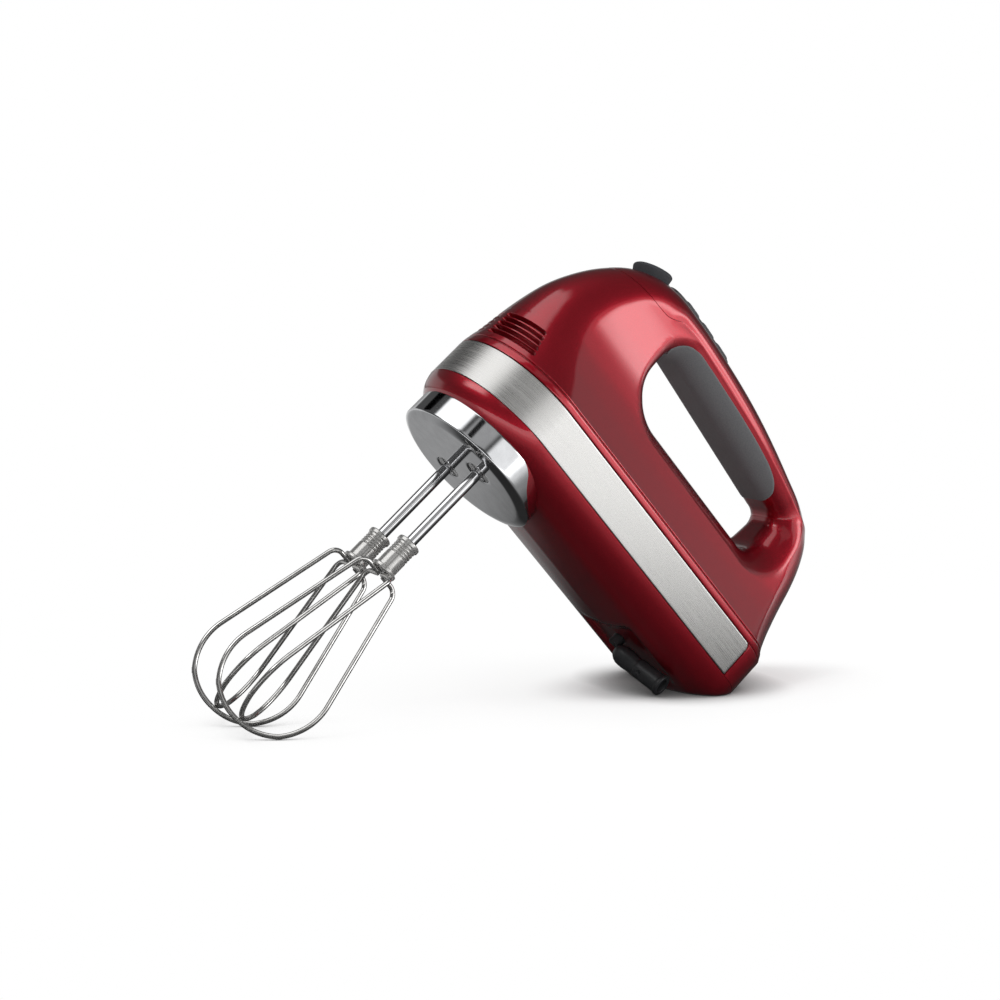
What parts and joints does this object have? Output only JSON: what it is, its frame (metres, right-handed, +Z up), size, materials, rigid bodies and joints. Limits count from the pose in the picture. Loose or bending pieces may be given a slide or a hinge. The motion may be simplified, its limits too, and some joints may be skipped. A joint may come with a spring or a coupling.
{
  "type": "hand mixer",
  "caption": "Hand mixer with a loop handle, eject button, keys, steel band, swivelling cord gland and two wire beaters, standing on its heel and beater tips.",
  "frame": {"origin": "middle of the bevelled back edge that the mixer stands on, at table height", "axes": "+Z up from the table; +X level, towards the back of the mixer, away from the beaters; +Y to the right of the mixer seen from behind the beaters looking at its back"},
  "size_m": [0.3195, 0.087, 0.2105],
  "materials": {
    "housing_gloss": "metallic red lacquer, high gloss",
    "eject_grey": "dark grey satin",
    "band_steel": "fine lengthwise brushing",
    "cap_chrome": "polished",
    "grip_rubber": "soft matt overmould",
    "panel_black": "gloss",
    "window_glass": "tinted clear window",
    "button_grey": "satin",
    "wire_steel": "polished stainless wire",
    "beater_steel": "polished stainless bar",
    "collar_steel": "polished stainless, turned grooves",
    "gland_black": "satin",
    "bright_steel": "ground",
    "gear_plastic": "natural nylon",
    "case_alloy": "die cast",
    "bushing_brass": "sintered bronze",
    "iron_laminate": "stacked laminations",
    "copper_winding": "enamelled copper wire, varnished",
    "inner_plastic": "moulded",
    "board_green": "solder mask",
    "carbon": "pressed carbon"
  },
  "bodies": {
    "housing": {"brush_holder_left": "bushing_brass", "brush_holder_right": "bushing_brass", "brush_spring_left": "bright_steel", "brush_spring_right": "bright_steel", "button_switches": "inner_plastic", "capacitor": "inner_plastic", "carbon_brush_left": "carbon", "carbon_brush_right": "carbon", "control_board": "board_green", "control_panel": "panel_black", "display_window": "window_glass", "field_coil_lower": "copper_winding", "field_coil_upper": "copper_winding", "front_bearing": "bright_steel", "front_bushing": "bushing_brass", "front_cap": "cap_chrome", "gear_case": "case_alloy", "gear_case_lid": "case_alloy", "gear_case_screws": "bright_steel", "handle_cover": "housing_gloss", "heat_sink": "case_alloy", "housing_screws": "bright_steel", "lower_housing": "housing_gloss", "power_board": "board_green", "rear_bearing": "bright_steel", "rear_bracket": "inner_plastic", "soft_grip": "grip_rubber", "spindle_bushings": "bushing_brass", "stator_core": "iron_laminate", "trim_band": "band_steel", "upper_housing": "housing_gloss"},
    "rotor": {"motor_shaft": "bright_steel", "armature_core": "iron_laminate", "armature_winding": "copper_winding", "commutator": "bushing_brass", "cooling_fan": "inner_plastic", "worm": "bright_steel"},
    "left_spindle": {"spindle_left": "bright_steel", "worm_wheel_left": "gear_plastic"},
    "right_spindle": {"spindle_right": "bright_steel", "worm_wheel_right": "gear_plastic"},
    "left_beater": {"beater_shaft_left": "beater_steel", "beater_collar_left": "collar_steel", "beater_loop_a_left": "wire_steel", "beater_loop_b_left": "wire_steel"},
    "right_beater": {"beater_shaft_right": "beater_steel", "beater_collar_right": "collar_steel", "beater_loop_a_right": "wire_steel", "beater_loop_b_right": "wire_steel"},
    "ejector": {"eject_button": "eject_grey", "ejector_rod": "bright_steel"},
    "power_key": {"power_button": "button_grey"},
    "speed_down_key": {"speed_down_button": "button_grey"},
    "speed_up_key": {"speed_up_button": "button_grey"},
    "gland": {"cord_gland": "gland_black", "gland_clip": "bright_steel"}
  },
  "joints": [
    {"name": "rotor_spin", "type": "hinge", "parent": "housing", "child": "rotor", "pos_m": [-0.06112, 0, 0.10415], "axis": [0.6558, 0, -0.755], "continuous": true},
    {"name": "left_spindle_spin", "type": "hinge", "parent": "housing", "child": "left_spindle", "pos_m": [-0.10166, -0.0154, 0.13252], "axis": [0.755, 0, 0.6558], "continuous": true},
    {"name": "right_spindle_spin", "type": "hinge", "parent": "housing", "child": "right_spindle", "pos_m": [-0.10166, 0.0154, 0.13252], "axis": [0.755, 0, 0.6558], "continuous": true},
    {"name": "eject_press", "type": "slide", "parent": "housing", "child": "ejector", "axis": [-0.755, 0, -0.6558], "range_m": [0, 0.006], "stiffness_N_per_m": 500, "springref_m": -0.004},
    {"name": "left_beater_eject", "type": "slide", "parent": "left_spindle", "child": "left_beater", "axis": [-0.755, 0, -0.6558], "range_m": [0, 0.006]},
    {"name": "right_beater_eject", "type": "slide", "parent": "right_spindle", "child": "right_beater", "axis": [-0.755, 0, -0.6558], "range_m": [0, 0.006]},
    {"name": "power_press", "type": "slide", "parent": "housing", "child": "power_key", "axis": [-0.755, 0, -0.6558], "range_m": [0, 0.001], "stiffness_N_per_m": 800, "springref_m": -0.0005},
    {"name": "speed_down_press", "type": "slide", "parent": "housing", "child": "speed_down_key", "axis": [-0.755, 0, -0.6558], "range_m": [0, 0.001], "stiffness_N_per_m": 800, "springref_m": -0.0005},
    {"name": "speed_up_press", "type": "slide", "parent": "housing", "child": "speed_up_key", "axis": [-0.755, 0, -0.6558], "range_m": [0, 0.001], "stiffness_N_per_m": 800, "springref_m": -0.0005},
    {"name": "gland_swivel", "type": "hinge", "parent": "housing", "child": "gland", "pos_m": [-0.03987, 0, 0.02327], "axis": [0.755, 0, 0.6558], "range_deg": [-12, 118]}
  ],
  "couplings": [
    {"joint": "left_spindle_spin", "follows": "rotor_spin", "ratio": 0.071429},
    {"joint": "right_spindle_spin", "follows": "rotor_spin", "ratio": -0.071429},
    {"joint": "left_beater_eject", "follows": "eject_press", "ratio": 1},
    {"joint": "right_beater_eject", "follows": "eject_press", "ratio": 1}
  ]
}
